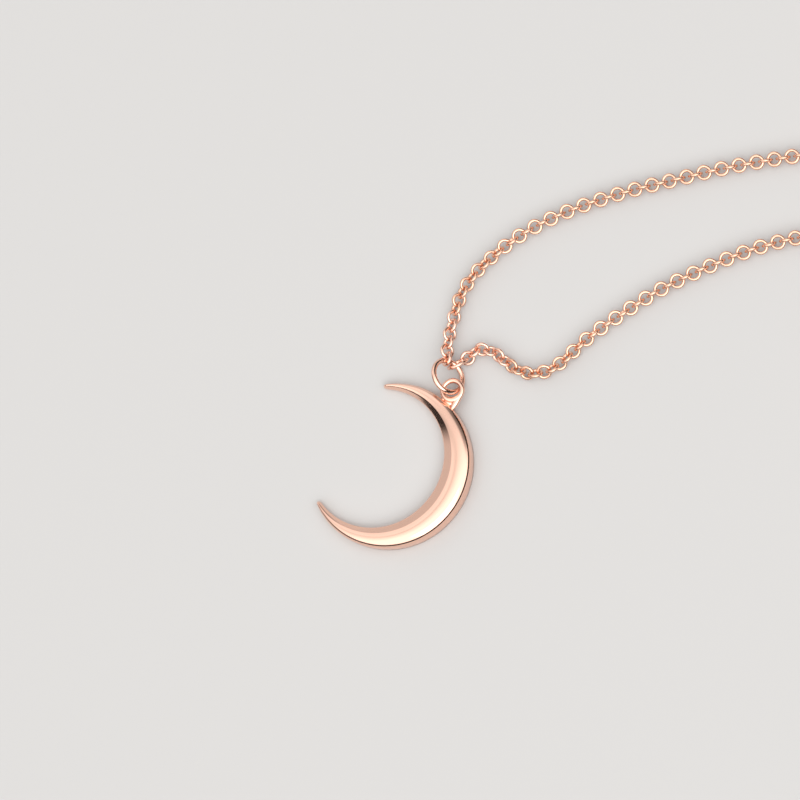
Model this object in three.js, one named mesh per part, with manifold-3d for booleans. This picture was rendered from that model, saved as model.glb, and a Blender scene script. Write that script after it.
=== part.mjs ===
// A crescent-moon pendant necklace, laid out flat: pendant, jump ring, fine cable chain in two
// halves, each wound into a small coil, with a lobster clasp on one end and a short extender with a
// ball drop on the other. Millimetres, +Z up, everything rests on the plane Z = 0.
import * as THREE from 'three';
import { mergeVertices } from 'three/addons/utils/BufferGeometryUtils.js';
import Module from 'manifold-3d';

const wasm = await Module();
wasm.setup();

// ---- Driving dimensions (mm, degrees) ----
const FRAME_SHIFT = { x: -2.09, y: -3.43 }; // moves the crescent's circle centre off the part's origin

const MOON_OUTER_R = 8.0; // outer edge circle
const MOON_INNER_R = 6.78; // inner edge circle
const MOON_INNER_OFFSET = 1.7; // the inner circle's centre lies this far from the outer one's
const MOON_FAT_ANGLE = -29.3; // the direction of the widest place, from +X
const MOON_HALF_ARC = 127.2; // from the widest place to each tip
const MOON_TIP_TAPER = 3.2; // the last degrees of the arc round off to a point
const MOON_THICKNESS = 1.9; // at the widest place
const MOON_TIP_THICKNESS = 0.6;

const EYE_R = 0.95; // wire centre line of the soldered ring on the crescent's edge
const EYE_WIRE_R = 0.25;
const EYE_ANGLE = 49.6;
const EYE_HEIGHT = 1.2;
const SOLDER_GAP = 0.02;

const JUMP_RING_R = 1.62;
const JUMP_RING_WIRE_R = 0.25;
const JUMP_RING_TILT = 50; // from flat on the table
const JUMP_RING_LOW_SIDE = 15.3; // the direction its low side points in
const JUMP_RING_CENTRE = new THREE.Vector3(5.60, 8.354, 1.51);

const LINK_R = 0.6; // round chain link, wire centre line
const LINK_WIRE_R = 0.15;
const LINK_PITCH = 0.85;
const CHAIN_D = 2 * (LINK_R + LINK_WIRE_R);
const CHAIN_Z = CHAIN_D / 2; // centre line of chain lying on the table
const NEAR_LINKS = 6; // single links beside the pendant on each half of the chain
const FIRST_ROLL_A = -42.2; // turn of the first link about the chain, from flat on the table
const FIRST_ROLL_B = 42.8;

const SIDE_RING_R = 0.98; // the larger ring that ends one half of the chain
const SIDE_RING_WIRE_R = 0.16;
const SIDE_RING_ROLL = -61.5;
const SIDE_RING_TO_LINK = 1.134; // from the ring's centre to the centre of the first link of half B

const COIL_MID_R = 7.8; // middle of the bundle of turns
const COIL_WIDTH = 2 * CHAIN_D;
const COIL_HEIGHT = 2 * CHAIN_D;
const COIL_SOFT = 0.4; // the rounded corners of the bundle
const STRAND_STEPS = 38;
const TAIL_STEPS = 6;
const COIL_A = { x: 51.0, y: 38.1 };
const COIL_B = { x: 51.0, y: 12.7 };

const END_RING_R = 1.1;
const END_RING_WIRE_R = 0.22;
const END_LINK_Y = 42.37; // last link of half A, beside the clasp's ring
const CLASP_RING_Y = 43.55;

const EXTENDER_LINKS = 8;
const EXTENDER_R = 1.1; // half width of an oval link at its wire centre line
const EXTENDER_STRETCH = 0.6; // half the straight side of an oval link
const EXTENDER_WIRE_R = 0.24;
const HOOK_GAP = 0.08; // play left between two linked rings
const DROP_BALL_R = 1.3;
const DROP_EYE_R = 0.6;
const DROP_EYE_WIRE_R = 0.18;

const CLASP_AT = { x: 61.75, y: 44.6, z: 0.96, turn: 90 }; // the eye in the clasp's tail
const CLASP_THICKNESS = 1.9;
const TAIL_THICKNESS = 0.7;
const LEVER_THICKNESS = 0.5;
const LEVER_DOWN = 0.14; // the lever sits to one side of its slot, beside the spring
const LEVER_SLOT = 0.9;
const LEVER_PIVOT = { x: 2.35, y: 0.85 };
const PIN_R = 0.28;
const RUNNING_GAP = 0.03;
const SPRING_R = 0.42;
const SPRING_WIRE_R = 0.06;

const ROSE_GOLD = new THREE.Color(0xe3a58c);
const SPRING_STEEL = new THREE.Color(0xb9bcc0);

// ---- Route of each half of the chain: hand-placed points from the jump ring outwards ----
const ROUTE_A = [
  [5.34, 10.10, 1.22], [5.30, 10.84, 1.04], [5.40, 12.24, 0.84], [5.52, 13.10, CHAIN_Z],
  [5.76, 14.10, CHAIN_Z], [6.12, 15.50, CHAIN_Z], [6.72, 16.95, CHAIN_Z], [7.90, 18.60, CHAIN_Z],
  [9.60, 20.20, CHAIN_Z], [11.75, 21.80, CHAIN_Z], [14.20, 23.15, CHAIN_Z], [17.00, 24.30, CHAIN_Z],
  [20.00, 25.25, CHAIN_Z], [23.30, 26.10, CHAIN_Z], [26.80, 26.80, CHAIN_Z], [30.20, 27.50, CHAIN_Z],
  [33.50, 28.05, CHAIN_Z], [37.00, 28.50, CHAIN_Z], [41.00, 28.90, CHAIN_Z], [45.50, 29.30, CHAIN_Z],
];
const ROUTE_B = [
  [6.38, 9.64, 1.045], [7.22, 10.21, 0.68], [7.90, 10.82, 0.69], [8.65, 11.00, 0.84],
  [9.80, 10.70, CHAIN_Z], [10.90, 9.85, CHAIN_Z], [12.05, 9.00, CHAIN_Z], [13.40, 8.55, CHAIN_Z],
  [14.90, 8.70, CHAIN_Z], [16.30, 9.45, CHAIN_Z], [17.60, 10.60, CHAIN_Z], [19.00, 11.85, CHAIN_Z],
  [20.75, 13.10, CHAIN_Z], [23.00, 14.55, CHAIN_Z], [25.40, 16.00, CHAIN_Z], [28.20, 17.35, CHAIN_Z],
  [31.10, 18.55, CHAIN_Z], [34.00, 19.60, CHAIN_Z], [37.20, 20.45, CHAIN_Z], [41.00, 21.05, CHAIN_Z],
  [45.60, 21.35, CHAIN_Z],
];
// From each coil down to the table, where the last link is.
const TAIL_A = [
  [61.05, 37.80, 1.55], [61.42, 39.00, 1.20], [61.65, 40.20, 0.90], [61.75, 41.40, 0.80],
];
const TAIL_B = [
  [61.05, 13.00, 1.55], [61.42, 11.80, 1.20], [61.65, 10.60, 0.90], [61.75, 9.40, 0.80],
];
// The last link, its ring, the extender and the drop follow one another along this line.
const EXTENDER_ROUTE = [
  [61.75, 8.60, 0.85], [61.80, 7.30, 1.02], [61.80, 5.00, 1.06], [61.60, 2.20, 1.06],
  [60.90, -0.40, 1.06], [59.40, -2.70, 1.06], [57.10, -4.20, 1.06], [54.40, -5.00, 1.06],
  [51.50, -5.30, 1.06], [47.00, -5.20, 1.20], [42.00, -5.00, 1.62],
];

const rad = THREE.MathUtils.degToRad;
const necklace = new THREE.Group();
necklace.position.set(FRAME_SHIFT.x, FRAME_SHIFT.y, 0);

function metal(color = ROSE_GOLD, roughness = 0.16) {
  return new THREE.MeshStandardMaterial({ color, roughness, metalness: 1 });
}

function named(name, geometry, material = metal()) {
  const mesh = new THREE.Mesh(geometry, material);
  mesh.name = name;
  return mesh;
}

function add(name, geometry) {
  const mesh = named(name, geometry);
  necklace.add(mesh);
  return mesh;
}

// ---- Helpers ----
function toManifold(geometry) {
  const bare = geometry.clone();
  bare.deleteAttribute('normal');
  bare.deleteAttribute('uv');
  const merged = mergeVertices(bare, 1e-4);
  return new wasm.Manifold(
    new wasm.Mesh({
      numProp: 3,
      vertProperties: new Float32Array(merged.attributes.position.array),
      triVerts: new Uint32Array(merged.index.array),
    }),
  );
}

function fromManifold(solid) {
  const mesh = solid.getMesh();
  const geometry = new THREE.BufferGeometry();
  geometry.setAttribute('position', new THREE.BufferAttribute(mesh.vertProperties, 3));
  geometry.setIndex(new THREE.BufferAttribute(mesh.triVerts, 1));
  geometry.computeVertexNormals();
  return geometry;
}

// A closed skin over a row of equal rings of points, with a fan on each end.
function loft(rings) {
  const count = rings[0].length;
  const vertices = rings.flat();
  const triangles = [];
  for (let r = 0; r + 1 < rings.length; r += 1) {
    for (let i = 0; i < count; i += 1) {
      const a = r * count + i;
      const b = r * count + ((i + 1) % count);
      triangles.push(a, a + count, b, b, a + count, b + count);
    }
  }
  const last = (rings.length - 1) * count;
  for (let i = 1; i + 1 < count; i += 1) {
    triangles.push(0, i, i + 1);
    triangles.push(last, last + i + 1, last + i);
  }
  const geometry = new THREE.BufferGeometry().setFromPoints(vertices);
  geometry.setIndex(triangles);
  geometry.computeVertexNormals();
  return geometry;
}

function toVectors(points) {
  return points.map(([x, y, z]) => new THREE.Vector3(x, y, z));
}

function smoothRoute(points) {
  const curve = new THREE.CatmullRomCurve3(toVectors(points), false, 'centripetal');
  curve.arcLengthDivisions = 1200;
  return curve;
}

// The matrix of a link at a distance along a route: X along the route, Z the link's own axis.
// A roll of 0 lies flat on the table.
function linkMatrix(curve, distance, roll) {
  const u = distance / curve.getLength();
  const along = curve.getTangentAt(u);
  const side = new THREE.Vector3().crossVectors(along, new THREE.Vector3(0, 0, 1)).normalize();
  const over = new THREE.Vector3().crossVectors(side, along);
  const axis = over.multiplyScalar(Math.cos(rad(roll))).addScaledVector(side, Math.sin(rad(roll)));
  const across = new THREE.Vector3().crossVectors(axis, along);
  return new THREE.Matrix4().makeBasis(along, across, axis).setPosition(curve.getPointAt(u));
}

function ring(radius, wire, sides, steps) {
  return new THREE.TorusGeometry(radius, wire, sides, steps);
}

// ---- Pendant ----
function moonWidth(angle) {
  const across = MOON_INNER_OFFSET * Math.sin(angle);
  const inner = Math.sqrt(MOON_INNER_R ** 2 - across ** 2) - MOON_INNER_OFFSET * Math.cos(angle);
  return MOON_OUTER_R - inner;
}

// One section of the crescent, across from the inner edge and up from the table: flat back, upright
// edges, rounded outer shoulder, softly domed front and a slope down to the inner edge.
const MOON_SECTION = [
  [0.06, 0.00], [0.94, 0.00], [1.00, 0.06], [1.00, 0.62], [0.985, 0.74], [0.95, 0.83], [0.89, 0.90],
  [0.80, 0.96], [0.70, 0.99], [0.58, 1.00], [0.46, 0.98], [0.33, 0.925], [0.165, 0.77],
  [0.02, 0.64], [0.00, 0.58], [0.00, 0.06],
];

function moonRing(angle) {
  const half = rad(MOON_HALF_ARC);
  const left = (half - Math.abs(angle)) / rad(MOON_TIP_TAPER);
  const taper = left < 1 ? Math.sqrt(Math.max(1 - (1 - left) ** 2, 0.02)) : 1;
  const full = moonWidth(angle);
  const share = (full / moonWidth(0)) ** 0.7;
  const width = full * taper;
  const height = (MOON_TIP_THICKNESS + (MOON_THICKNESS - MOON_TIP_THICKNESS) * share) * taper;
  const start = MOON_OUTER_R - full + (full - width) / 2;
  const turn = angle + rad(MOON_FAT_ANGLE);
  return MOON_SECTION.map(
    ([u, v]) =>
      new THREE.Vector3(
        (start + u * width) * Math.cos(turn),
        (start + u * width) * Math.sin(turn),
        v * height,
      ),
  );
}

function crescent() {
  const steps = 46;
  const half = rad(MOON_HALF_ARC);
  const rings = [];
  for (let i = 0; i <= steps; i += 1) {
    const t = -1 + (2 * i) / steps;
    rings.push(moonRing(half * Math.sin((t * Math.PI) / 2) * 0.35 + half * t * 0.65));
  }
  return loft(rings);
}

function pendant() {
  add('crescent', crescent());
  const eye = add('eye', ring(EYE_R, EYE_WIRE_R, 10, 28));
  const reach = MOON_OUTER_R + EYE_R + EYE_WIRE_R + SOLDER_GAP;
  eye.position.set(reach * Math.cos(rad(EYE_ANGLE)), reach * Math.sin(rad(EYE_ANGLE)), EYE_HEIGHT);
}

function jumpRing() {
  const mesh = add('jump_ring', ring(JUMP_RING_R, JUMP_RING_WIRE_R, 10, 36));
  mesh.rotation.order = 'ZYX';
  mesh.rotation.set(0, rad(JUMP_RING_TILT), rad(JUMP_RING_LOW_SIDE));
  mesh.position.copy(JUMP_RING_CENTRE);
}

// ---- Chain ----
function nearLinks(half, curve, firstAt, roll) {
  for (let i = 0; i < NEAR_LINKS; i += 1) {
    const link = add(`chain_${half}_link_${i + 1}`, ring(LINK_R, LINK_WIRE_R, 6, 16));
    link.applyMatrix4(linkMatrix(curve, firstAt + i * LINK_PITCH, roll + 90 * (i % 2)));
  }
}

function sideRing(curve, roll) {
  const mesh = add('chain_b_side_ring', ring(SIDE_RING_R, SIDE_RING_WIRE_R, 8, 22));
  mesh.applyMatrix4(linkMatrix(curve, 0, roll));
}

function tube(points, diameter, steps) {
  const section = new THREE.Shape();
  const sides = 8;
  for (let i = 0; i < sides; i += 1) {
    const a = (2 * Math.PI * i) / sides + Math.PI / sides;
    const r = diameter / 2 / Math.cos(Math.PI / sides);
    if (i === 0) section.moveTo(r * Math.cos(a), r * Math.sin(a));
    else section.lineTo(r * Math.cos(a), r * Math.sin(a));
  }
  section.closePath();
  const path = new THREE.CatmullRomCurve3(points, false, 'centripetal');
  return new THREE.ExtrudeGeometry(section, { steps, extrudePath: path });
}

// The part of a route between two distances, as evenly spaced points.
function stretch(curve, from, to, count) {
  const points = [];
  for (let i = 0; i <= count; i += 1) {
    const u = (from + ((to - from) * i) / count) / curve.getLength();
    points.push(curve.getPointAt(Math.min(u, 1)));
  }
  return points;
}

function strand(name, curve, from, steps) {
  const to = curve.getLength();
  add(name, tube(stretch(curve, from, to, steps), CHAIN_D * 0.96, steps));
}

function coil(name, at) {
  const inner = COIL_MID_R - COIL_WIDTH / 2;
  const outer = COIL_MID_R + COIL_WIDTH / 2;
  const profile = [
    [inner, COIL_SOFT], [inner + COIL_SOFT, 0], [outer - COIL_SOFT, 0], [outer, COIL_SOFT],
    [outer, COIL_HEIGHT - COIL_SOFT], [outer - COIL_SOFT, COIL_HEIGHT],
    [inner + COIL_SOFT, COIL_HEIGHT], [inner, COIL_HEIGHT - COIL_SOFT], [inner, COIL_SOFT],
  ].map(([x, y]) => new THREE.Vector2(x, y));
  const mesh = add(name, new THREE.LatheGeometry(profile, 40));
  mesh.rotation.x = Math.PI / 2;
  mesh.position.set(at.x, at.y, 0);
}

// ---- Clasp: outline lies in its own XY plane, tail eye at the origin, hook towards +X ----
function slab(shape, thickness) {
  const geometry = new THREE.ExtrudeGeometry(shape, {
    depth: thickness,
    bevelEnabled: false,
    curveSegments: 20,
  });
  return geometry.translate(0, 0, -thickness / 2);
}

function ellipse(x, y, rx, ry) {
  return new THREE.Shape().absellipse(x, y, rx, ry, 0, 2 * Math.PI, false, 0);
}

function polygon(points) {
  return new THREE.Shape(points.map(([x, y]) => new THREE.Vector2(x, y)));
}

function claspBody() {
  const outer = toManifold(slab(ellipse(4.6, 0, 3.55, 2.3), CLASP_THICKNESS));
  const tail = toManifold(slab(ellipse(0, 0, 1.05, 1.05), TAIL_THICKNESS));
  const neckOutline = [[0.7, -0.7], [2, -1.2], [2, 1.2], [0.7, 0.7]];
  const neck = toManifold(slab(polygon(neckOutline), TAIL_THICKNESS));
  const through = 2 * CLASP_THICKNESS;
  const tailHole = toManifold(slab(ellipse(0, 0, 0.6, 0.6), through));
  const hold = toManifold(slab(ellipse(5.15, -0.1, 2.0, 1.3), through));
  const mouth = toManifold(slab(polygon([[3.2, 0.3], [6.1, 0.3], [6.1, 3], [3.2, 3]]), through));
  const slotOutline = [[1.2, 0.25], [4.2, 0.1], [4.2, 3], [1.2, 3]];
  const slot = toManifold(slab(polygon(slotOutline), LEVER_SLOT));
  const pinHole = toManifold(pivotDisc(PIN_R + RUNNING_GAP, through));
  const solid = outer.add(neck).add(tail);
  const cuts = [tailHole, hold, mouth, slot, pinHole];
  return fromManifold(cuts.reduce((left, cut) => left.subtract(cut), solid));
}

function pivotDisc(radius, thickness) {
  return slab(ellipse(LEVER_PIVOT.x, LEVER_PIVOT.y, radius, radius), thickness);
}

// Thumb tab, boss round the pin, and the gate that shuts the mouth.
function claspLever() {
  const outline = [
    [1.75, 0.55], [2.6, 0.4], [3.4, 1.3], [4.6, 1.62], [5.9, 1.42], [6.02, 1.72], [5.2, 2.12],
    [4.2, 2.28], [3.3, 2.15], [2.9, 2.0], [2.55, 2.7], [1.9, 2.85], [1.7, 2.5], [2.0, 1.9],
    [1.75, 1.2],
  ];
  const arm = toManifold(slab(polygon(outline), LEVER_THICKNESS));
  const hole = toManifold(pivotDisc(PIN_R + RUNNING_GAP, CLASP_THICKNESS));
  return fromManifold(arm.subtract(hole)).translate(0, 0, -LEVER_DOWN);
}

function claspPin() {
  const pin = new THREE.CylinderGeometry(PIN_R, PIN_R, CLASP_THICKNESS, 16);
  return pin.rotateX(Math.PI / 2).translate(LEVER_PIVOT.x, LEVER_PIVOT.y, 0);
}

// Two close turns of wire round the pin.
function claspSpring() {
  const turns = 2;
  const low = LEVER_THICKNESS / 2 - LEVER_DOWN + RUNNING_GAP + SPRING_WIRE_R;
  const rise = LEVER_SLOT / 2 - RUNNING_GAP - SPRING_WIRE_R - low;
  const points = [];
  for (let i = 0; i <= 12 * turns; i += 1) {
    const a = (2 * Math.PI * i) / 12;
    const x = LEVER_PIVOT.x + SPRING_R * Math.cos(a);
    const y = LEVER_PIVOT.y + SPRING_R * Math.sin(a);
    points.push(new THREE.Vector3(x, y, low + (rise * i) / (12 * turns)));
  }
  return tube(points, 2 * SPRING_WIRE_R, 24);
}

function clasp() {
  const group = new THREE.Group();
  group.position.set(CLASP_AT.x, CLASP_AT.y, CLASP_AT.z);
  group.rotation.z = rad(CLASP_AT.turn);
  necklace.add(group);
  group.add(named('clasp_body', claspBody()));
  group.add(named('clasp_lever', claspLever()));
  group.add(named('clasp_pin', claspPin()));
  group.add(named('clasp_spring', claspSpring(), metal(SPRING_STEEL, 0.3)));
}

// The upright ring between the last link of half A and the clasp's tail.
function claspRing() {
  const link = add('chain_a_end_link', ring(LINK_R, LINK_WIRE_R, 6, 16));
  link.position.set(CLASP_AT.x, END_LINK_Y, 0.9);
  const upright = add('clasp_ring', ring(END_RING_R, END_RING_WIRE_R, 8, 24));
  upright.rotation.y = Math.PI / 2;
  upright.position.set(CLASP_AT.x, CLASP_RING_Y, END_RING_R + END_RING_WIRE_R + 0.01);
}

// ---- Extender ----
function ovalLink() {
  const geometry = ring(EXTENDER_R, EXTENDER_WIRE_R, 8, 16).rotateZ(Math.PI / 16);
  const position = geometry.attributes.position;
  for (let i = 0; i < position.count; i += 1) {
    position.setX(i, position.getX(i) + Math.sign(position.getX(i)) * EXTENDER_STRETCH);
  }
  return geometry;
}

function drop() {
  const eye = toManifold(ring(DROP_EYE_R, DROP_EYE_WIRE_R, 8, 18));
  const ball = toManifold(
    new THREE.SphereGeometry(DROP_BALL_R, 18, 12).translate(DROP_EYE_R + DROP_BALL_R, 0, 0),
  );
  return fromManifold(eye.add(ball));
}

function extender() {
  const line = smoothRoute(EXTENDER_ROUTE);
  const linkInside = EXTENDER_R + EXTENDER_STRETCH - EXTENDER_WIRE_R;
  let at = 0;
  const put = (name, geometry, step, roll) => {
    at += step;
    add(name, geometry).applyMatrix4(linkMatrix(line, at, roll));
  };
  put('chain_b_end_link', ring(LINK_R, LINK_WIRE_R, 6, 16), 0, 45);
  const ringInside = END_RING_R - END_RING_WIRE_R;
  const toRing = LINK_R - LINK_WIRE_R + ringInside - HOOK_GAP;
  put('extender_ring', ring(END_RING_R, END_RING_WIRE_R, 8, 24), toRing, -45);
  let step = ringInside + linkInside - HOOK_GAP;
  for (let i = 1; i <= EXTENDER_LINKS; i += 1) {
    put(`extender_link_${i}`, ovalLink(), step, i % 2 ? 45 : -45);
    step = 2 * linkInside - HOOK_GAP;
  }
  put('drop', drop(), linkInside + DROP_EYE_R - DROP_EYE_WIRE_R - HOOK_GAP, 45);
}

pendant();
jumpRing();
const routeA = smoothRoute(ROUTE_A);
const routeB = smoothRoute(ROUTE_B);
nearLinks('a', routeA, 0, FIRST_ROLL_A);
sideRing(routeB, SIDE_RING_ROLL);
nearLinks('b', routeB, SIDE_RING_TO_LINK, FIRST_ROLL_B);
strand('chain_a_strand', routeA, NEAR_LINKS * LINK_PITCH, STRAND_STEPS);
strand('chain_b_strand', routeB, SIDE_RING_TO_LINK + NEAR_LINKS * LINK_PITCH, STRAND_STEPS);
coil('chain_a_coil', COIL_A);
coil('chain_b_coil', COIL_B);
strand('chain_a_tail', smoothRoute(TAIL_A), 0, TAIL_STEPS);
strand('chain_b_tail', smoothRoute(TAIL_B), 0, TAIL_STEPS);
claspRing();
clasp();
extender();

export default necklace;
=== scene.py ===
"""A crescent-moon pendant necklace laid out flat on a pale table.

The crescent lies on its back with its jump ring leaning out of the eye. Both halves of the fine
cable chain hook on the jump ring and run off to the right, where each ends in a small coil, one with
a lobster clasp and one with an extender and a ball drop. Dimensions are written in millimetres, in
the same frame as the CAD model, and MM turns them into metres.
"""

import math
import random

import bpy
import numpy as np
from mathutils import Matrix, Vector


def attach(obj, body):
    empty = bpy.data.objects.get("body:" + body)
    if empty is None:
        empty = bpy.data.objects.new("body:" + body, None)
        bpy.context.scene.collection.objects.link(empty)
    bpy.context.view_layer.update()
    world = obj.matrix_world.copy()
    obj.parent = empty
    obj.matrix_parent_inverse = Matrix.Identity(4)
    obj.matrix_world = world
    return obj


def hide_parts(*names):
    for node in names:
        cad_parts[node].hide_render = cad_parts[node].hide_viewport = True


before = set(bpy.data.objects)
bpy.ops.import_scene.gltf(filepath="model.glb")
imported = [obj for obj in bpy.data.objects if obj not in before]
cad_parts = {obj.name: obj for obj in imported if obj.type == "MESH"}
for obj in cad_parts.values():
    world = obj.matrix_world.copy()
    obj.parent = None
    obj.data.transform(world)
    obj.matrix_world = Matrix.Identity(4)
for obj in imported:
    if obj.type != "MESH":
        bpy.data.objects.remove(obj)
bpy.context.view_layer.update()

MM = 0.001
FRAME_SHIFT = Vector((-2.09, -3.43, 0.0))  # moves the crescent's circle centre off the origin
UP = Vector((0, 0, 1))

# ---- Camera ----
CAMERA_AT = (148.13, -110.47, 517.63)
CAMERA_FORWARD = (-0.2680, 0.2124, -0.9397)
CAMERA_UP = (0.0294, 0.9767, 0.2124)
CAMERA_LENS = 260.9

# ---- Room: directions, and soft steps written as (start, end, low, high) ----
KEY_SIDE = (0.35, -0.75, 0.56)  # the direction that the room's light comes from
GLOW = (-0.20, 0.65, 0.45, 1.75)  # brighter the closer to that direction
OVERHEAD = (0.36, 0.47, 0.0, 1.0)  # dark at the horizon, lit above it
FAR_WALL_SIDE = (-0.5, 0.866, 0.0)
FAR_WALL = (0.42, 0.62, 0.03, 0.70)  # a lit wall that keeps that side of the horizon from going dark
SHADED_SIDE = (0.45, 0.75, 0.48)
SHADE = (0.84, 0.96, 1.0, 0.35)  # a dimmer patch, high at the back on the right
ROOM_COLOR = (1.0, 0.985, 0.97, 1)
KEY_AT = (0.45, -0.60, 0.95)  # in metres
KEY_SIZE = (0.9, 0.9)
KEY_POWER = 4
TABLE_SIZE = 3
TABLE_COLOR = (0.54, 0.535, 0.53, 1)
TABLE_ROUGHNESS = 0.7

# ---- Finish ----
CLOUD_SCALE = 420  # of the noise that tints the metal, per metre
ROUGHNESS_SPREAD = (0.75, 1.35)  # least and most roughness, as shares of the metal's own
MARKS_STRENGTH = 0.06
MARKS_DEPTH = 0.00002  # of the polishing marks, in metres

# ---- Pendant ----
MOON_OUTER_R = 8.0
MOON_INNER_R = 6.78
MOON_INNER_OFFSET = 1.7
MOON_FAT_ANGLE = math.radians(-29.3)
MOON_HALF_ARC = math.radians(127.2)
MOON_TIP_TAPER = math.radians(3.2)
MOON_THICKNESS = 1.9
MOON_TIP_THICKNESS = 0.6
MOON_THINNING = 0.7  # how the thickness follows the width towards the tips, as a power
MOON_CREST = 0.58  # the highest line, as a share of the width from the inner edge
MOON_WALL = 0.62  # share of the height that is upright edge
MOON_TURN = 0.93  # how tightly the front turns over into the outer edge
MOON_CROWN = 0.95  # how full the front is above that turn
MOON_BEVEL = 0.33  # share of the width that slopes down to the inner edge
MOON_BEVEL_TOP = 0.925  # height where that slope starts, as a share of the thickness
MOON_FOOT = [(0.94, 0.0), (0.985, 0.02), (1.0, 0.06), (1.0, 0.3)]  # rounded edge of the back
EYE_R = 0.95
EYE_WIRE_R = 0.25
EYE_CAST_SIDE = math.radians(-85)  # the eye is thickest on this side, where it runs into the edge
EYE_CAST_MORE = 0.22  # how much thicker, as a share of the wire
EYE_CAST_WIDTH = 0.9  # how far round the ring that reaches, in radians
EYE_CAST_RISE = 0.4  # share of the thickening that also goes upwards
EYE_ANGLE = math.radians(49.6)
EYE_REACH = 9.22  # from the middle of the outer edge's circle to the middle of the eye
EYE_HEIGHT = 1.2
EYE_LEGS = [  # rounded lumps that join the eye to the edge: middle, half sizes, turn
    ((6.40, 5.93, EYE_HEIGHT - 0.03), (1.00, 0.30, 0.27), math.radians(58.7)),
    ((5.12, 6.47, EYE_HEIGHT - 0.18), (0.42, 0.18, 0.19), math.radians(75)),
    ((5.58, 5.98, EYE_HEIGHT - 0.22), (0.36, 0.50, 0.24), EYE_ANGLE),
]
JUMP_RING_R = 1.62
JUMP_RING_WIRE_R = 0.25
JUMP_RING_TILT = math.radians(50)
JUMP_RING_LOW_SIDE = math.radians(15.3)
JUMP_RING_CENTRE = (5.60, 8.354, 1.51)
JUMP_RING_GAP = 0.03  # between its cut ends
JUMP_RING_SEAM = math.radians(100)  # where that gap is, round the ring

# ---- Chain: rolls are in degrees, and a link lies flat at a roll of 0 ----
LINK_R = 0.6
LINK_WIRE_R = 0.15
LINK_PITCH = 0.85
CHAIN_D = 2 * (LINK_R + LINK_WIRE_R)
CHAIN_Z = CHAIN_D / 2
LINK_WOBBLE = 4  # degrees that a link may roll either way
SOLDER_SWELL = 0.10  # how much thicker a link is where it is soldered, as a share of its wire
SOLDER_WIDTH = 0.3  # how far round the link that reaches, in radians
NEAR_LINKS = 6  # links of each half that are pieces of their own
LINKS_A = 247  # the other links of each half
LINKS_B = 240
FINE_CHAIN = 52  # distance along a half up to which its links are finely made
FINE_LINK = (24, 10)  # steps round the link, sides of the wire
COARSE_LINK = (16, 6)
FIRST_ROLL_A = -42.2
FIRST_ROLL_B = 42.8
SIDE_RING_R = 0.98
SIDE_RING_WIRE_R = 0.16
SIDE_RING_ROLL = -61.5
SIDE_RING_TO_LINK = 1.134
COIL_A = (51.0, 38.1)
COIL_B = (51.0, 12.7)
COIL_OUTER_R = 8.55
COIL_INNER_R = 7.05
COIL_STEPS = 76
COIL_SWEEP = 1135  # degrees wound in all
COIL_INWARD = (300, 360)  # degrees over which the chain moves to the inner turn
COIL_UPWARD = (640, 705)  # and climbs on top of it
COIL_OUTWARD = (1040, 1080)  # and goes back out

# ---- Ends ----
END_RING_R = 1.1
END_RING_WIRE_R = 0.22
END_LINK_AT = (61.75, 42.37, 0.9)
CLASP_RING_Y = 43.55
EXTENDER_LINKS = 8
EXTENDER_R = 1.1
EXTENDER_STRETCH = 0.6
EXTENDER_ROUNDING = 3  # low for an oval link, high for one with straight sides
EXTENDER_WIRE_R = 0.23
EXTENDER_HOOK_R = 0.24  # the wire that the links are spaced for, which leaves them a little play
HOOK_GAP = 0.08  # play left between two hooked rings
DROP_BALL_R = 1.3
DROP_EYE_R = 0.6
DROP_EYE_WIRE_R = 0.18
DROP_COLLAR = (0.22, 0.46, 0.46)  # half sizes of the solder between eye and ball
DROP_COLLAR_OUT = 0.06
CLASP_AT = (61.75, 44.6, 0.96)
CLASP_THICKNESS = 1.9
TAIL_THICKNESS = 0.7
LEVER_THICKNESS = 0.5
LEVER_DOWN = 0.14
LEVER_SLOT = 0.9
LEVER_PIVOT = (2.35, 0.85)
LEVER_OUTLINE = [
    (1.75, 0.55), (2.6, 0.4), (3.4, 1.3), (4.6, 1.62), (5.9, 1.42), (6.02, 1.72), (5.2, 2.12),
    (4.2, 2.28), (3.3, 2.15), (2.9, 2.0), (2.55, 2.7), (1.9, 2.85), (1.7, 2.5), (2.0, 1.9),
    (1.75, 1.2),
]
NECK_OUTLINE = [(0.7, -0.6), (2, -1.1), (2, 1.1), (0.7, 0.6)]
MOUTH_OUTLINE = [(3.2, 0.3), (6.1, 0.3), (6.1, 3), (3.2, 3)]
SLOT_OUTLINE = [(1.2, 0.25), (4.2, 0.1), (4.2, 3), (1.2, 3)]
CUT_HALF = 2  # half the height of a cutter that goes right through
PIN_R = 0.28
PIN_PLAY = 0.01
PIN_PROUD = 0.02  # how far each end of the pin stands out of the body
SPRING_R = 0.42
SPRING_WIRE_R = 0.06
SPRING_TURNS = 2
SPRING_STEPS = 24  # for each turn
SPRING_GAP = 0.03  # to the lever and to the slot

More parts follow.
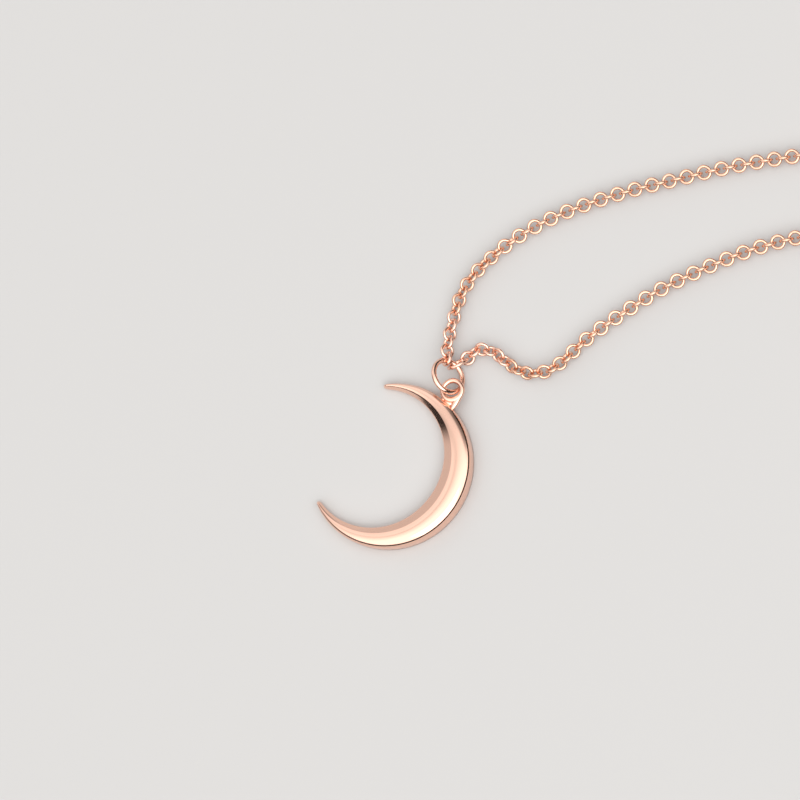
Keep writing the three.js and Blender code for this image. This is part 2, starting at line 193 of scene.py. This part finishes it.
ROUTE_A = [
    (5.34, 10.10, 1.22), (5.30, 10.84, 1.04), (5.40, 12.24, 0.84), (5.52, 13.10, CHAIN_Z),
    (5.76, 14.10, CHAIN_Z), (6.12, 15.50, CHAIN_Z), (6.72, 16.95, CHAIN_Z), (7.90, 18.60, CHAIN_Z),
    (9.60, 20.20, CHAIN_Z), (11.75, 21.80, CHAIN_Z), (14.20, 23.15, CHAIN_Z),
    (17.00, 24.30, CHAIN_Z), (20.00, 25.25, CHAIN_Z), (23.30, 26.10, CHAIN_Z),
    (26.80, 26.80, CHAIN_Z), (30.20, 27.50, CHAIN_Z), (33.50, 28.05, CHAIN_Z),
    (37.00, 28.50, CHAIN_Z), (41.00, 28.90, CHAIN_Z), (45.50, 29.30, CHAIN_Z),
]
ROUTE_B = [
    (6.38, 9.64, 1.045), (7.22, 10.21, 0.68), (7.90, 10.82, 0.69), (8.65, 11.00, 0.84),
    (9.80, 10.70, CHAIN_Z), (10.90, 9.85, CHAIN_Z), (12.05, 9.00, CHAIN_Z), (13.40, 8.55, CHAIN_Z),
    (14.90, 8.70, CHAIN_Z), (16.30, 9.45, CHAIN_Z), (17.60, 10.60, CHAIN_Z),
    (19.00, 11.85, CHAIN_Z), (20.75, 13.10, CHAIN_Z), (23.00, 14.55, CHAIN_Z),
    (25.40, 16.00, CHAIN_Z), (28.20, 17.35, CHAIN_Z), (31.10, 18.55, CHAIN_Z),
    (34.00, 19.60, CHAIN_Z), (37.20, 20.45, CHAIN_Z), (41.00, 21.05, CHAIN_Z),
    (45.60, 21.35, CHAIN_Z),
]
TAIL_A = [
    (61.05, 37.80, 1.55), (61.42, 39.00, 1.20), (61.65, 40.20, 0.90), (61.75, 41.49, 0.81),
]
TAIL_B = [
    (61.05, 13.00, 1.55), (61.42, 11.80, 1.20), (61.65, 10.60, 0.90), (61.75, 9.40, 0.80),
]
EXTENDER_ROUTE = [
    (61.75, 8.60, 0.85), (61.80, 7.30, 1.02), (61.80, 5.00, 1.06), (61.60, 2.20, 1.06),
    (60.90, -0.40, 1.06), (59.40, -2.70, 1.06), (57.10, -4.20, 1.06), (54.40, -5.00, 1.06),
    (51.50, -5.30, 1.06), (47.00, -5.20, 1.20), (42.00, -5.00, 1.62),
]


# ---- Helpers ----
def place(point):
    """A point of the drawing, in millimetres, as a point of the scene, in metres."""
    return (Vector(point) + FRAME_SHIFT) * MM


def camera():
    """A long lens above the table, turned so that the picture's up is CAMERA_UP."""
    data = bpy.data.cameras.new("camera")
    data.lens = CAMERA_LENS
    data.clip_start = 0.01
    obj = bpy.data.objects.new("camera", data)
    back = -Vector(CAMERA_FORWARD).normalized()
    right = Vector(CAMERA_UP).cross(back).normalized()
    up = back.cross(right)
    turn = Matrix((right, up, back)).transposed()
    obj.matrix_world = Matrix.Translation(place(CAMERA_AT)) @ turn.to_4x4()
    bpy.context.scene.collection.objects.link(obj)
    bpy.context.scene.camera = obj


class Route:
    """A smooth curve through given points, measured along its length."""

    def __init__(self, points, steps=60):
        points = [Vector(p) for p in points]
        self.points = [points[0]]
        for i in range(len(points) - 1):
            before = points[i - 1] if i > 0 else 2 * points[0] - points[1]
            after = points[i + 2] if i + 2 < len(points) else 2 * points[-1] - points[-2]
            for k in range(1, steps + 1):
                self.points.append(through(before, points[i], points[i + 1], after, k / steps))
        self.lengths = [0.0]
        for a, b in zip(self.points, self.points[1:]):
            self.lengths.append(self.lengths[-1] + (b - a).length)
        self.length = self.lengths[-1]

    def at(self, distance):
        return Vector(
            np.interp(distance, self.lengths, [p[i] for p in self.points]) for i in range(3)
        )

    def along(self, distance):
        near = max(distance - 0.01, 0)
        far = min(distance + 0.01, self.length)
        return (self.at(far) - self.at(near)).normalized()

    def frame(self, distance, roll):
        """The matrix of a link: X along the route, Z the link's own axis, flat at a roll of 0."""
        along = self.along(distance)
        side = along.cross(UP).normalized()
        over = side.cross(along)
        axis = over * math.cos(math.radians(roll)) + side * math.sin(math.radians(roll))
        across = axis.cross(along)
        return as_matrix(along, across, axis, self.at(distance))


def through(p0, p1, p2, p3, w):
    """A centripetal Catmull-Rom curve from p1 to p2."""
    d0 = math.sqrt((p1 - p0).length) or 1.0
    d1 = math.sqrt((p2 - p1).length) or 1.0
    d2 = math.sqrt((p3 - p2).length) or 1.0
    t1 = ((p1 - p0) / d0 - (p2 - p0) / (d0 + d1) + (p2 - p1) / d1) * d1
    t2 = ((p2 - p1) / d1 - (p3 - p1) / (d1 + d2) + (p3 - p2) / d2) * d1
    c2 = 3 * (p2 - p1) - 2 * t1 - t2
    c3 = 2 * (p1 - p2) + t1 + t2
    return p1 + t1 * w + c2 * w * w + c3 * w**3


def as_matrix(x, y, z, at):
    """The matrix whose axes are x, y and z and whose origin is at a point."""
    matrix = Matrix((x, y, z)).transposed().to_4x4()
    matrix.translation = at
    return matrix


def ease(value, low, high):
    """A soft step from 0 to 1 while the value goes from low to high."""
    t = min(max((value - low) / (high - low), 0), 1)
    return t * t * (3 - 2 * t)


# ---- Materials ----
def metal(name, color, dark, roughness, grain):
    """Polished plated metal with a faint cloudiness and fine polishing marks."""
    material = bpy.data.materials.new(name)
    material.use_nodes = True
    nodes = material.node_tree.nodes
    link = material.node_tree.links.new
    shader = nodes["Principled BSDF"]
    shader.inputs["Metallic"].default_value = 1.0
    where = nodes.new("ShaderNodeTexCoord")

    cloud = nodes.new("ShaderNodeTexNoise")
    cloud.inputs["Scale"].default_value = CLOUD_SCALE
    cloud.inputs["Detail"].default_value = 3
    link(where.outputs["Object"], cloud.inputs["Vector"])
    tint = nodes.new("ShaderNodeMix")
    tint.data_type = "RGBA"
    tint.inputs[6].default_value = (*dark, 1)
    tint.inputs[7].default_value = (*color, 1)
    link(cloud.outputs["Fac"], tint.inputs["Factor"])
    link(tint.outputs[2], shader.inputs["Base Color"])

    marks = nodes.new("ShaderNodeTexNoise")
    marks.inputs["Scale"].default_value = grain
    marks.inputs["Detail"].default_value = 5
    link(where.outputs["Object"], marks.inputs["Vector"])
    spread = nodes.new("ShaderNodeMapRange")
    spread.inputs["From Min"].default_value = 0.3
    spread.inputs["From Max"].default_value = 0.7
    spread.inputs["To Min"].default_value = roughness * ROUGHNESS_SPREAD[0]
    spread.inputs["To Max"].default_value = roughness * ROUGHNESS_SPREAD[1]
    link(marks.outputs["Fac"], spread.inputs["Value"])
    link(spread.outputs["Result"], shader.inputs["Roughness"])

    bump = nodes.new("ShaderNodeBump")
    bump.inputs["Strength"].default_value = MARKS_STRENGTH
    bump.inputs["Distance"].default_value = MARKS_DEPTH
    link(marks.outputs["Fac"], bump.inputs["Height"])
    link(bump.outputs["Normal"], shader.inputs["Normal"])
    return material


GOLD = metal("rose_gold", (0.95, 0.62, 0.49), (0.93, 0.59, 0.46), 0.12, 5200)
# The chain's rose gold is partly its own deeper colour and partly painted shade. It is made darker
# than the pendant's metal to stand in for the shadow and dark reflections on the chain.
SHADED_CHAIN_GOLD = metal("rose_gold_chain_painted_shade", (0.91, 0.57, 0.42), (0.84, 0.49, 0.34), 0.16, 9000)
STEEL = metal("spring_steel", (0.62, 0.62, 0.63), (0.52, 0.52, 0.54), 0.28, 9000)


def piece(name, vertices, faces, material, body, node=None, sharp=None):
    """A mesh in millimetres made into a piece that rides on a body and stands for a CAD node."""
    mesh = bpy.data.meshes.new(name)
    mesh.from_pydata([place(v) for v in vertices], [], faces)
    mesh.polygons.foreach_set("use_smooth", [True] * len(mesh.polygons))
    if sharp is not None:
        mesh.set_sharp_from_angle(angle=math.radians(sharp))
    mesh.materials.append(material)
    obj = bpy.data.objects.new(name, mesh)
    bpy.context.scene.collection.objects.link(obj)
    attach(obj, body)
    if node:
        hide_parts(*([node] if isinstance(node, str) else node))
    return obj


def strip_faces(rows, count, flipped=False):
    """Quads between neighbouring rows of points, where each row is a closed loop."""
    faces = []
    for i in range(rows - 1):
        a = i * count
        b = a + count
        for k in range(count):
            m = (k + 1) % count
            quad = (a + k, b + k, b + m, a + m)
            faces.append((a + k, a + m, b + m, b + k) if flipped else quad)
    return faces


def moved(vertices, matrix):
    return [matrix @ Vector(v) for v in vertices]


def joined(*meshes):
    vertices = []
    faces = []
    for more_vertices, more_faces in meshes:
        base = len(vertices)
        vertices.extend(more_vertices)
        faces.extend([tuple(v + base for v in face) for face in more_faces])
    return vertices, faces


# ---- Rings and links ----
def ring_faces(steps, sides):
    """Quads of a closed ring of wire."""
    faces = []
    for i in range(steps):
        for k in range(sides):
            j = (i + 1) % steps
            m = (k + 1) % sides
            faces.append((i * sides + k, j * sides + k, j * sides + m, i * sides + m))
    return faces


def ring_mesh(radius, wire, steps, sides, stretch=0.0, swell=SOLDER_SWELL):
    """A ring of round wire in its own XY plane, with a small solder swelling on one side.

    A stretch above 0 pulls its two ends apart along X and makes an oval link of it.
    """
    vertices = []
    for i in range(steps):
        a = 2 * math.pi * i / steps
        away = math.atan2(math.sin(a - math.pi / 2), math.cos(a - math.pi / 2))
        thick = wire * (1 + swell * math.exp(-((away / SOLDER_WIDTH) ** 2)))
        shift = stretch * math.tanh(EXTENDER_ROUNDING * math.cos(a))
        for k in range(sides):
            b = 2 * math.pi * k / sides
            r = radius + thick * math.cos(b)
            vertices.append((r * math.cos(a) + shift, r * math.sin(a), thick * math.sin(b)))
    return vertices, ring_faces(steps, sides)


def ring_piece(name, matrix, radius, wire, body, stretch=0.0, steps=48, sides=16):
    vertices, faces = ring_mesh(radius, wire, steps, sides, stretch)
    return piece(name + "_piece", moved(vertices, matrix), faces, GOLD, body, name)


def chain_mesh(route, first, count, pitch, roll_at):
    """Interlocked round links along a route, joined into one mesh."""
    chance = random.Random(4)
    links = []
    for i in range(count):
        distance = first + i * pitch
        steps, sides = FINE_LINK if distance < FINE_CHAIN else COARSE_LINK
        vertices, faces = ring_mesh(LINK_R, LINK_WIRE_R, steps, sides)
        roll = roll_at(distance) + 90 * (i % 2) + chance.uniform(-LINK_WOBBLE, LINK_WOBBLE)
        links.append((moved(vertices, route.frame(distance, roll)), faces))
    return joined(*links)


def coil_points(centre, start, turn):
    """Two by two turns: outer and inner on the table, then inner and outer on top of them."""
    points = []
    for i in range(COIL_STEPS + 1):
        swept = COIL_SWEEP * i / COIL_STEPS
        inward = ease(swept, *COIL_INWARD) - ease(swept, *COIL_OUTWARD)
        radius = COIL_OUTER_R + (COIL_INNER_R - COIL_OUTER_R) * inward
        height = CHAIN_Z + CHAIN_D * ease(swept, *COIL_UPWARD)
        angle = math.radians(start + turn * swept)
        x = centre[0] + radius * math.cos(angle)
        y = centre[1] + radius * math.sin(angle)
        points.append((x, y, height))
    return points


def half_chain(half, points, first, links, roll_at):
    """The free part of one half of the chain, from its near links to its last link."""
    route = Route(points)
    pitch = (route.length - first) / (links - 1)
    vertices, faces = chain_mesh(route, first, links, pitch, roll_at)
    nodes = [f"chain_{half}_strand", f"chain_{half}_coil", f"chain_{half}_tail"]
    cord = piece(f"chain_{half}", vertices, faces, SHADED_CHAIN_GOLD, "chain", nodes)


def near_links(half, route, first_at, roll):
    """The links next to the jump ring, each a piece of its own."""
    for i in range(NEAR_LINKS):
        matrix = route.frame(first_at + i * LINK_PITCH, roll + 90 * (i % 2))
        ring_piece(f"chain_{half}_link_{i + 1}", matrix, LINK_R, LINK_WIRE_R, "chain", steps=36)


# ---- Crescent ----
def moon_width(angle):
    """The distance between the two edges, both round, at an angle from the widest place."""
    across = MOON_INNER_OFFSET * math.sin(angle)
    inner = math.sqrt(MOON_INNER_R**2 - across**2) - MOON_INNER_OFFSET * math.cos(angle)
    return MOON_OUTER_R - inner


def moon_section():
    """Flat back, upright edges, a domed front and a sloping inner edge, as (across, up)."""
    steps = 14
    outer = []
    for i in range(steps + 1):
        a = math.pi / 2 * i / steps
        across = MOON_CREST + (1 - MOON_CREST) * math.cos(a) ** MOON_TURN
        outer.append((across, MOON_WALL + (1 - MOON_WALL) * math.sin(a) ** MOON_CROWN))
    inner = []
    for i in range(1, steps + 1):
        t = i / steps
        across = MOON_CREST + (MOON_BEVEL - MOON_CREST) * t
        inner.append((across, 1 - (1 - MOON_BEVEL_TOP) * t**2))
    slope = (MOON_BEVEL_TOP - MOON_WALL) / MOON_BEVEL
    for share in (0.8, 0.6, 0.4, 0.2, 0.06):
        inner.append((MOON_BEVEL * share, MOON_WALL + MOON_BEVEL * share * slope))
    rounded = [(0.006, MOON_WALL - 0.005), (0.002, MOON_WALL - 0.03), (0.0, MOON_WALL - 0.06)]
    inner_foot = [(1 - across, up) for across, up in reversed(MOON_FOOT)]
    return [(0.5, 0.0)] + MOON_FOOT + outer + inner + rounded + inner_foot


def moon_ring(angle, section):
    """The cross-section placed at one angle, smaller and rounded off towards the tip."""
    left = (MOON_HALF_ARC - abs(angle)) / MOON_TIP_TAPER
    taper = math.sqrt(max(1 - (1 - left) ** 2, 0.01)) if left < 1 else 1
    full = moon_width(angle)
    share = (full / moon_width(0)) ** MOON_THINNING
    width = full * taper
    height = (MOON_TIP_THICKNESS + (MOON_THICKNESS - MOON_TIP_THICKNESS) * share) * taper
    start = MOON_OUTER_R - full + (full - width) / 2
    turn = angle + MOON_FAT_ANGLE
    return [
        ((start + u * width) * math.cos(turn), (start + u * width) * math.sin(turn), v * height)
        for u, v in section
    ]


def crescent():
    section = moon_section()
    count = len(section)
    steps = 200
    vertices = []
    for i in range(steps + 1):
        t = -1 + 2 * i / steps
        vertices.extend(moon_ring(MOON_HALF_ARC * math.sin(t * math.pi / 2), section))
    faces = strip_faces(steps + 1, count)
    last = steps * count
    faces.append(tuple(range(count)))
    faces.append(tuple(last + k for k in reversed(range(count))))
    piece("crescent_piece", vertices, faces, GOLD, "pendant", "crescent", sharp=45)


def blob(at, sizes, turn=0.0, steps=20, levels=10):
    """A rounded lump, such as a bead of solder."""
    vertices = []
    for j in range(levels + 1):
        b = math.pi * (j / levels - 0.5)
        for i in range(steps):
            a = 2 * math.pi * i / steps
            x = sizes[0] * math.cos(a) * math.cos(b)
            y = sizes[1] * math.sin(a) * math.cos(b)
            spun = (x * math.cos(turn) - y * math.sin(turn), x * math.sin(turn) + y * math.cos(turn))
            vertices.append((at[0] + spun[0], at[1] + spun[1], at[2] + sizes[2] * math.sin(b)))
    return vertices, strip_faces(levels + 1, steps, flipped=True)


def eye():
    """A cast ring, thicker on the side that runs into the crescent's edge, and its legs."""
    toward = Vector((math.cos(EYE_ANGLE), math.sin(EYE_ANGLE), 0))
    centre = toward * EYE_REACH + UP * EYE_HEIGHT
    steps = 72
    sides = 20
    vertices = []
    for i in range(steps):
        a = 2 * math.pi * i / steps
        away = math.atan2(math.sin(a - EYE_CAST_SIDE), math.cos(a - EYE_CAST_SIDE))
        more = EYE_CAST_MORE * math.exp(-((away / EYE_CAST_WIDTH) ** 2))
        thick = EYE_WIRE_R * (1 + more)
        middle = EYE_R + EYE_WIRE_R - thick
        for k in range(sides):
            b = 2 * math.pi * k / sides
            r = middle + thick * math.cos(b)
            up = EYE_WIRE_R * math.sin(b) * (1 + EYE_CAST_RISE * more)
            vertices.append(centre + Vector((r * math.cos(a), r * math.sin(a), up)))
    legs = [blob(at, sizes, turn) for at, sizes, turn in EYE_LEGS]
    vertices, faces = joined((vertices, ring_faces(steps, sides)), *legs)
    piece("eye_piece", vertices, faces, GOLD, "pendant", "eye")


def open_ring_mesh(radius, wire, steps, sides, gap, seam):
    """A ring of wire bent round until its two cut ends almost meet."""
    vertices = []
    for i in range(steps + 1):
        a = seam + gap / 2 + (2 * math.pi - gap) * i / steps
        for k in range(sides):
            b = 2 * math.pi * k / sides
            r = radius + wire * math.cos(b)
            vertices.append((r * math.cos(a), r * math.sin(a), wire * math.sin(b)))
    faces = strip_faces(steps + 1, sides)
    faces.append(tuple(range(sides)))
    faces.append(tuple(steps * sides + k for k in reversed(range(sides))))
    return vertices, faces


def jump_ring():
    """The open ring, leaning out of the eye, that both halves of the chain hook on."""
    lean = Matrix.Rotation(JUMP_RING_LOW_SIDE, 4, "Z") @ Matrix.Rotation(JUMP_RING_TILT, 4, "Y")
    matrix = Matrix.Translation(JUMP_RING_CENTRE) @ lean
    gap = JUMP_RING_GAP / JUMP_RING_R
    ring = open_ring_mesh(JUMP_RING_R, JUMP_RING_WIRE_R, 96, 20, gap, JUMP_RING_SEAM)
    vertices = moved(ring[0], matrix)
    piece("jump_ring_piece", vertices, ring[1], GOLD, "jump_ring", "jump_ring", sharp=60)


# ---- Clasp: drawn flat, tail eye at the origin, hook towards +X ----
def clasp_matrix():
    """Puts the drawn clasp in its place, its hook pointing along +Y."""
    return Matrix.Translation(CLASP_AT) @ Matrix.Rotation(math.pi / 2, 4, "Z")


def loose_object(vertices, faces):
    """An object in millimetres to cut or join, gone again before the piece is made."""
    mesh = bpy.data.meshes.new("loose")
    mesh.from_pydata(vertices, [], faces)
    obj = bpy.data.objects.new("loose", mesh)
    bpy.context.scene.collection.objects.link(obj)
    return obj


def stack(outline_at, levels):
    """A closed solid from a pile of outlines, one for each (height, inset)."""
    rings = [outline_at(inset) for _, inset in levels]
    count = len(rings[0])
    vertices = []
    for (height, _), ring in zip(levels, rings):
        vertices.extend([(x, y, height) for x, y in ring])
    faces = [tuple(reversed(range(count)))]
    faces.extend(strip_faces(len(levels), count, flipped=True))
    faces.append(tuple(range(len(vertices) - count, len(vertices))))
    return vertices, faces


def rounded_levels(half, rim, steps=6):
    """Heights and insets of a slab whose rims are rounded."""
    levels = []
    for i in range(steps + 1):
        a = math.pi / 2 * (1 - i / steps)
        levels.append((-half + rim * (1 - math.sin(a)), rim * (1 - math.cos(a))))
    upper = [(-height, inset) for height, inset in reversed(levels)]
    return sorted(levels + upper)


def ellipse_outline(x, y, rx, ry, steps=64):
    """A function that gives an ellipse's outline at an inset."""
    def at(inset):
        turn = [2 * math.pi * i / steps for i in range(steps)]
        return [(x + (rx - inset) * math.cos(a), y + (ry - inset) * math.sin(a)) for a in turn]

    return at


def polygon_outline(points):
    """A function that gives a polygon's outline, its points counterclockwise, at an inset."""
    def at(inset):
        count = len(points)
        moved_in = []
        for i in range(count):
            before = Vector(points[i - 1])
            here = Vector(points[i])
            after = Vector(points[(i + 1) % count])
            a = (here - before).normalized()
            b = (after - here).normalized()
            inward = Vector((-a.y - b.y, a.x + b.x))
            inward = inward.normalized() / max(inward.length / 2, 0.5)
            moved_in.append(tuple(here + inward * inset))
        return moved_in

    return at


def as_evaluated(obj):
    """The vertices and faces of an object with its modifiers applied."""
    graph = bpy.context.evaluated_depsgraph_get()
    mesh = bpy.data.meshes.new_from_object(obj.evaluated_get(graph))
    return [tuple(v.co) for v in mesh.vertices], [tuple(p.vertices) for p in mesh.polygons]


def combined(base, others, operation):
    for other in others:
        modifier = base.modifiers.new("cut", "BOOLEAN")
        modifier.operation = operation
        modifier.solver = "EXACT"
        modifier.object = other
    vertices, faces = as_evaluated(base)
    for obj in [base, *others]:
        bpy.data.objects.remove(obj)
    return loose_object(vertices, faces)


def softened(base, width):
    """The vertices and faces of an object with its sharp edges rounded."""
    modifier = base.modifiers.new("soft", "BEVEL")
    modifier.width = width
    modifier.segments = 3
    modifier.limit_method = "ANGLE"
    modifier.angle_limit = math.radians(50)
    vertices, faces = as_evaluated(base)
    bpy.data.objects.remove(base)
    return vertices, faces


def slab(outline_at, half, rim=0.0):
    levels = rounded_levels(half, rim) if rim else [(-half, 0), (half, 0)]
    return loose_object(*stack(outline_at, levels))


def pivot_disc(radius, half):
    return slab(ellipse_outline(*LEVER_PIVOT, radius, radius, 32), half)


def clasp_body():
    half = CLASP_THICKNESS / 2
    outer = slab(ellipse_outline(4.6, 0, 3.55, 2.3, 96), half, 0.7)
    tail = slab(ellipse_outline(0, 0, 1.05, 1.05), TAIL_THICKNESS / 2, 0.25)
    neck = slab(polygon_outline(NECK_OUTLINE), TAIL_THICKNESS / 2, 0.2)
    solid = combined(outer, [neck, tail], "UNION")
    cuts = [
        slab(ellipse_outline(0, 0, 0.6, 0.6), CUT_HALF),
        slab(ellipse_outline(5.15, -0.1, 2.0, 1.3), CUT_HALF),
        slab(polygon_outline(MOUTH_OUTLINE), CUT_HALF),
        slab(polygon_outline(SLOT_OUTLINE), LEVER_SLOT / 2),
        pivot_disc(PIN_R + PIN_PLAY, CUT_HALF),
    ]
    vertices, faces = softened(combined(solid, cuts, "DIFFERENCE"), 0.08)
    vertices = moved(vertices, clasp_matrix())
    return piece("clasp_body_piece", vertices, faces, GOLD, "clasp", "clasp_body", sharp=35)


def clasp_lever():
    arm = slab(polygon_outline(LEVER_OUTLINE), LEVER_THICKNESS / 2)
    hole = pivot_disc(PIN_R + PIN_PLAY, CUT_HALF)
    vertices, faces = softened(combined(arm, [hole], "DIFFERENCE"), 0.05)
    matrix = clasp_matrix() @ Matrix.Translation((0, 0, -LEVER_DOWN))
    vertices = moved(vertices, matrix)
    return piece("clasp_lever_piece", vertices, faces, GOLD, "clasp_lever", "clasp_lever", sharp=35)


def clasp_pin():
    levels = rounded_levels(CLASP_THICKNESS / 2 + PIN_PROUD, 0.12)
    vertices, faces = stack(ellipse_outline(*LEVER_PIVOT, PIN_R, PIN_R, 32), levels)
    vertices = moved(vertices, clasp_matrix())
    return piece("clasp_pin_piece", vertices, faces, GOLD, "clasp", "clasp_pin", sharp=35)


def wire_mesh(points, radius, sides=8):
    """Round wire along a row of points."""
    vertices = []
    count = len(points)
    points = [Vector(p) for p in points]
    for i, point in enumerate(points):
        along = (points[min(i + 1, count - 1)] - points[max(i - 1, 0)]).normalized()
        side = along.cross(UP).normalized()
        over = side.cross(along)
        for k in range(sides):
            b = 2 * math.pi * k / sides
            vertices.append(point + radius * (side * math.cos(b) + over * math.sin(b)))
    faces = strip_faces(count, sides, flipped=True)
    faces.append(tuple(reversed(range(sides))))
    faces.append(tuple((count - 1) * sides + k for k in range(sides)))
    return vertices, faces


def clasp_spring():
    """Close turns of wire round the pin, between the lever and the top of its slot."""
    low = LEVER_THICKNESS / 2 - LEVER_DOWN + SPRING_GAP + SPRING_WIRE_R
    rise = LEVER_SLOT / 2 - SPRING_GAP - SPRING_WIRE_R - low
    count = SPRING_STEPS * SPRING_TURNS
    points = []
    for i in range(count + 1):
        a = 2 * math.pi * i / SPRING_STEPS
        x = LEVER_PIVOT[0] + SPRING_R * math.cos(a)
        y = LEVER_PIVOT[1] + SPRING_R * math.sin(a)
        points.append((x, y, low + rise * i / count))
    vertices, faces = wire_mesh(points, SPRING_WIRE_R)
    vertices = moved(vertices, clasp_matrix())
    return piece("clasp_spring_piece", vertices, faces, STEEL, "clasp", "clasp_spring")


def clasp():
    flat = Matrix.Translation(END_LINK_AT) @ Matrix.Rotation(math.pi / 2, 4, "Z")
    end_link = ring_piece("chain_a_end_link", flat, LINK_R, LINK_WIRE_R, "chain")
    upright = Matrix.Translation((CLASP_AT[0], CLASP_RING_Y, END_RING_R + END_RING_WIRE_R + 0.01))
    upright = upright @ Matrix.Rotation(math.pi / 2, 4, "Y")
    ring = ring_piece("clasp_ring", upright, END_RING_R, END_RING_WIRE_R, "clasp_ring")
    return [end_link, ring, clasp_body(), clasp_lever(), clasp_pin(), clasp_spring()]


# ---- Extender ----
def drop(matrix):
    """A ball soldered to a small ring."""
    eye_ring = ring_mesh(DROP_EYE_R, DROP_EYE_WIRE_R, 40, 14, swell=0)
    ball = blob((DROP_EYE_R + DROP_BALL_R, 0, 0), (DROP_BALL_R,) * 3, 0.0, 48, 32)
    collar = blob((DROP_EYE_R + DROP_COLLAR_OUT, 0, 0), DROP_COLLAR, 0.0, 24, 12)
    vertices, faces = joined(eye_ring, ball, collar)
    return piece("drop_piece", moved(vertices, matrix), faces, GOLD, "drop", "drop")


def extender():
    """The last link of half B, and what hangs from it, one ring hooked in the next."""
    line = Route(EXTENDER_ROUTE)
    link_inside = EXTENDER_R + EXTENDER_STRETCH - EXTENDER_HOOK_R
    ring_inside = END_RING_R - END_RING_WIRE_R
    at = 0
    pieces = [ring_piece("chain_b_end_link", line.frame(at, 45), LINK_R, LINK_WIRE_R, "chain")]
    at += LINK_R - LINK_WIRE_R + ring_inside - HOOK_GAP
    matrix = line.frame(at, -45)
    pieces.append(ring_piece("extender_ring", matrix, END_RING_R, END_RING_WIRE_R, "extender_ring"))
    at += ring_inside + link_inside - HOOK_GAP
    for i in range(1, EXTENDER_LINKS + 1):
        name = f"extender_link_{i}"
        matrix = line.frame(at, 45 if i % 2 else -45)
        link = ring_piece(name, matrix, EXTENDER_R, EXTENDER_WIRE_R, name, EXTENDER_STRETCH)
        pieces.append(link)
        at += 2 * link_inside - HOOK_GAP
    at += DROP_EYE_R - DROP_EYE_WIRE_R - link_inside
    pieces.append(drop(line.frame(at, 45)))
    return pieces


# ---- Table and light ----
def table():
    bpy.ops.mesh.primitive_plane_add(size=TABLE_SIZE)
    floor = bpy.context.object
    floor.name = "table"
    material = bpy.data.materials.new("table")
    material.use_nodes = True
    shader = material.node_tree.nodes["Principled BSDF"]
    shader.inputs["Base Color"].default_value = TABLE_COLOR
    shader.inputs["Roughness"].default_value = TABLE_ROUGHNESS
    floor.data.materials.append(material)


def key_light():
    """A large soft light that points at the middle of the table."""
    data = bpy.data.lights.new("key", "AREA")
    data.shape = "RECTANGLE"
    data.size, data.size_y = KEY_SIZE
    data.energy = KEY_POWER
    obj = bpy.data.objects.new("key", data)
    obj.location = KEY_AT
    obj.rotation_euler = (-Vector(KEY_AT)).to_track_quat("-Z", "Y").to_euler()
    bpy.context.scene.collection.objects.link(obj)


def ramp(tree, value, step):
    """A soft step from low to high while the value goes from start to end."""
    start, end, low, high = step
    node = tree.nodes.new("ShaderNodeMapRange")
    node.interpolation_type = "SMOOTHSTEP"
    node.inputs["From Min"].default_value = start
    node.inputs["From Max"].default_value = end
    node.inputs["To Min"].default_value = low
    node.inputs["To Max"].default_value = high
    tree.links.new(value, node.inputs["Value"])
    return node.outputs["Result"]


def calculated(tree, operation, first, second):
    node = tree.nodes.new("ShaderNodeMath")
    node.operation = operation
    tree.links.new(first, node.inputs[0])
    tree.links.new(second, node.inputs[1])
    return node.outputs["Value"]


def facing(tree, where, side):
    """How far a direction in the room points towards one side of it, from -1 to 1."""
    node = tree.nodes.new("ShaderNodeVectorMath")
    node.operation = "DOT_PRODUCT"
    node.inputs[1].default_value = side
    tree.links.new(where.outputs["Generated"], node.inputs[0])
    return node.outputs["Value"]


def studio():
    """A room that brightens softly towards the key light, with a dark horizon but for one wall."""
    world = bpy.data.worlds.new("studio")
    world.use_nodes = True
    tree = world.node_tree
    where = tree.nodes.new("ShaderNodeTexCoord")
    apart = tree.nodes.new("ShaderNodeSeparateXYZ")
    tree.links.new(where.outputs["Generated"], apart.inputs["Vector"])
    glow = ramp(tree, facing(tree, where, KEY_SIDE), GLOW)
    overhead = ramp(tree, apart.outputs["Z"], OVERHEAD)
    far_wall = ramp(tree, facing(tree, where, FAR_WALL_SIDE), FAR_WALL)
    shade = ramp(tree, facing(tree, where, SHADED_SIDE), SHADE)
    lit = calculated(tree, "ADD", calculated(tree, "MULTIPLY", glow, overhead), far_wall)
    strength = calculated(tree, "MULTIPLY", lit, shade)
    tree.links.new(strength, tree.nodes["Background"].inputs["Strength"])
    tree.nodes["Background"].inputs["Color"].default_value = ROOM_COLOR
    bpy.context.scene.world = world


# ---- Build ----
def roll_along(distance, rolls, near_stretch, far_stretch):
    """The roll of a link: first, middle and last roll, and the stretches over which they change."""
    first, middle, last = rolls
    far = middle + (last - middle) * ease(distance, *far_stretch)
    return first + (far - first) * ease(distance, *near_stretch)


def roll_a(distance):
    return roll_along(distance, (FIRST_ROLL_A, -74.5, -90), (7, 20), (150, 205))


def roll_b(distance):
    return roll_along(distance, (FIRST_ROLL_B, 17, 45), (8, 24), (150, 200))


def build():
    camera()
    a_pieces = clasp()
    b_pieces = extender()
    near_a = NEAR_LINKS * LINK_PITCH
    near_b = SIDE_RING_TO_LINK + NEAR_LINKS * LINK_PITCH
    path_a = ROUTE_A + coil_points(COIL_A, -90, 1) + TAIL_A
    path_b = ROUTE_B + coil_points(COIL_B, 90, -1) + TAIL_B
    half_chain("a", path_a, near_a, LINKS_A, roll_a)
    half_chain("b", path_b, near_b, LINKS_B, roll_b)
    near_links("a", Route(ROUTE_A), 0, FIRST_ROLL_A)
    near_links("b", Route(ROUTE_B), SIDE_RING_TO_LINK, FIRST_ROLL_B)
    side = Route(ROUTE_B).frame(0, SIDE_RING_ROLL)
    ring_piece("chain_b_side_ring", side, SIDE_RING_R, SIDE_RING_WIRE_R, "chain")
    crescent()
    eye()
    jump_ring()
    table()
    studio()
    key_light()


bpy.context.scene.view_settings.view_transform = "Standard"
build()
